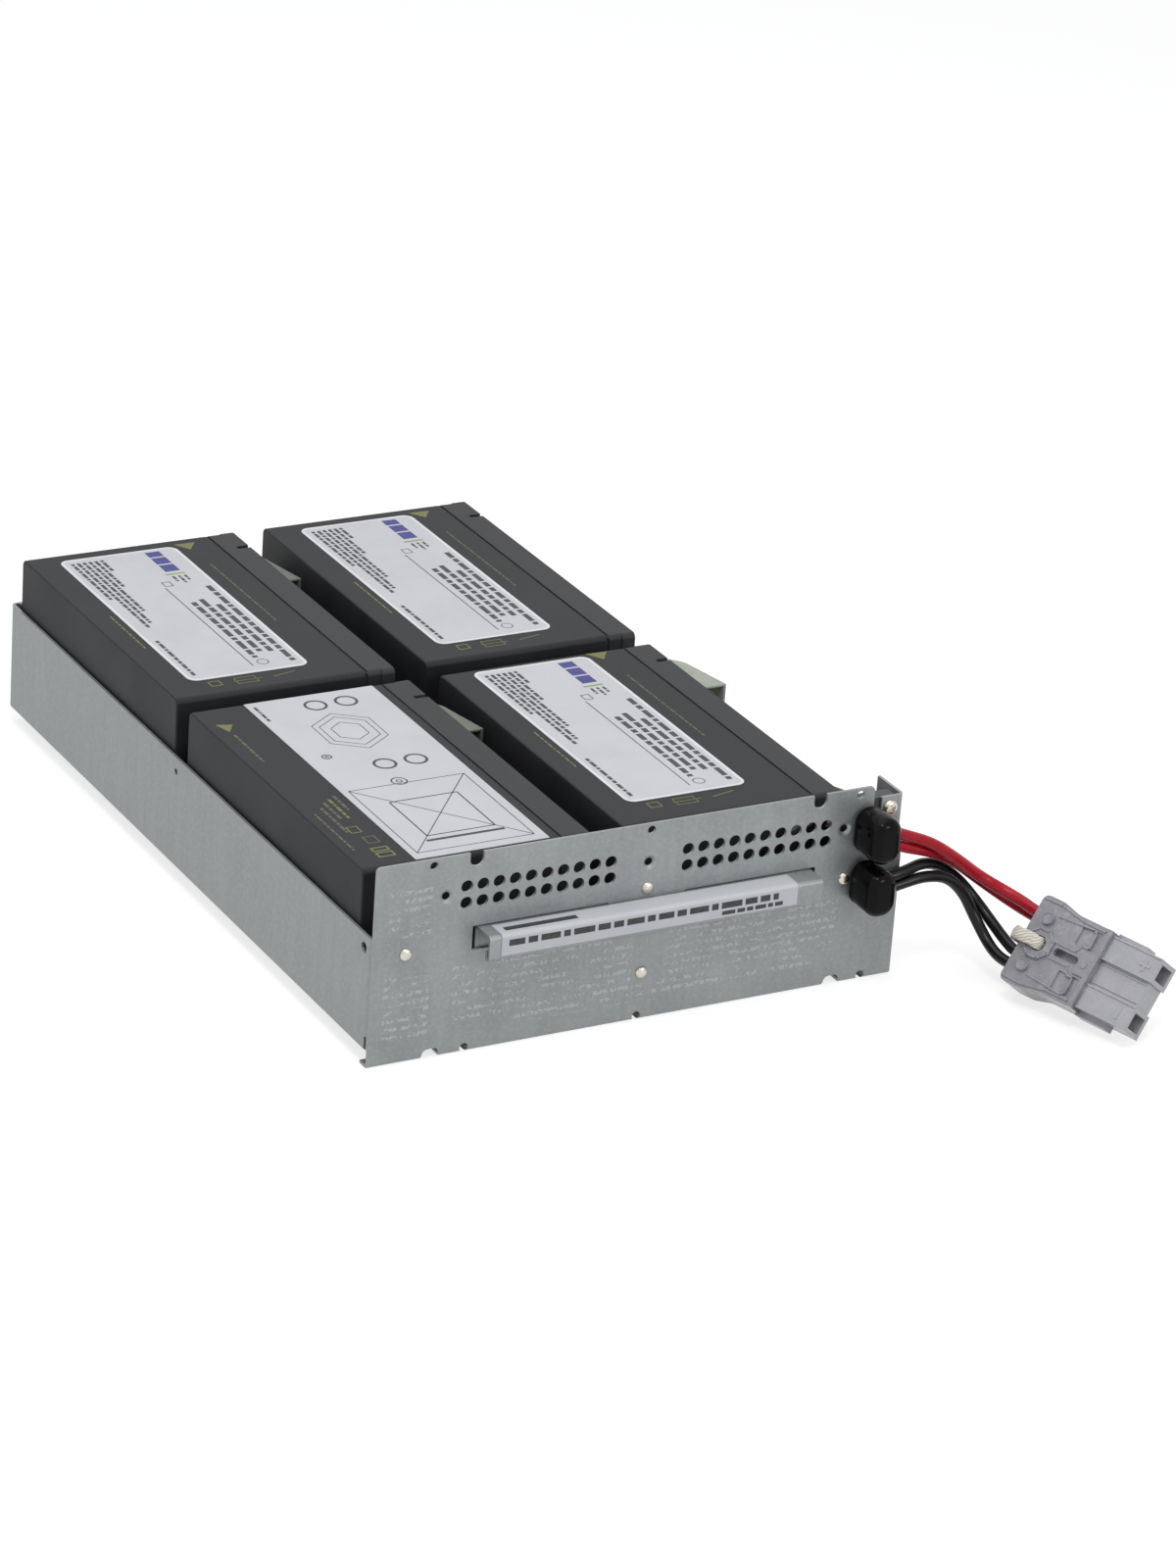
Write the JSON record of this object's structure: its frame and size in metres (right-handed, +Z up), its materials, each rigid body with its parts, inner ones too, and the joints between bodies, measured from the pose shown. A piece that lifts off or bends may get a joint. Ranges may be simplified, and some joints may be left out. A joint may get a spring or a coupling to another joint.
{
  "type": "ups battery cartridge",
  "caption": "Folded steel tray of sealed batteries lying on their sides, with a vented front plate, pull handle, booted studs and a plug on short leads.",
  "frame": {"origin": "middle of the footprint without the leads and plug, at the height of the front plate's foot", "axes": "+X to the right seen from the front plate, +Y towards the back of the tray, +Z up"},
  "size_m": [0.2966, 0.4231, 0.0806],
  "materials": {
    "zinc_steel": "zinc-plated, mottled satin",
    "fastener_steel": "plated, satin",
    "case_plastic": "fine-grained matt",
    "lid_plastic": "fine-grained matt",
    "sticker": "coated paper",
    "tape_foam": "foam tape",
    "tinned_brass": "tin-plated",
    "cover_plastic": "cloudy moulded plastic",
    "block_plastic": "moulded",
    "boot_vinyl": "dipped vinyl, glossy",
    "black_insulation": "glossy",
    "red_insulation": "glossy",
    "plug_plastic": "satin moulded plastic",
    "braid": "woven"
  },
  "bodies": {
    "root": {"back_left_case": "case_plastic", "back_left_covers": "cover_plastic", "back_left_label": "sticker", "back_left_lid": "lid_plastic", "back_left_terminals": "tinned_brass", "back_left_wire": "black_insulation", "back_right_case": "case_plastic", "back_right_covers": "cover_plastic", "back_right_label": "sticker", "back_right_lid": "lid_plastic", "back_right_terminals": "tinned_brass", "back_right_wire": "black_insulation", "battery_side_lugs": "tinned_brass", "bracket_screw": "fastener_steel", "cord_tie": "braid", "foam_pads": "tape_foam", "front_left_case": "case_plastic", "front_left_covers": "cover_plastic", "front_left_label": "sticker", "front_left_lid": "lid_plastic", "front_left_terminals": "tinned_brass", "front_left_wire": "black_insulation", "front_plate": "zinc_steel", "front_right_case": "case_plastic", "front_right_covers": "cover_plastic", "front_right_label": "sticker", "front_right_lid": "lid_plastic", "front_right_terminals": "tinned_brass", "front_right_wire": "black_insulation", "handle_label": "sticker", "left_jumper": "black_insulation", "lower_black_lead": "black_insulation", "lower_boot": "boot_vinyl", "lower_lead_lug": "tinned_brass", "lower_red_lead": "red_insulation", "plate_rivets": "fastener_steel", "plug_contacts": "tinned_brass", "plug_housing": "plug_plastic", "pull_handle": "zinc_steel", "push_on_connectors": "tinned_brass", "right_jumper": "black_insulation", "terminal_block": "block_plastic", "terminal_bolts": "fastener_steel", "terminal_nuts": "fastener_steel", "tray": "zinc_steel", "upper_black_lead": "black_insulation", "upper_boot": "boot_vinyl", "upper_lead_lug": "tinned_brass", "upper_red_lead": "red_insulation"}
  },
  "joints": []
}
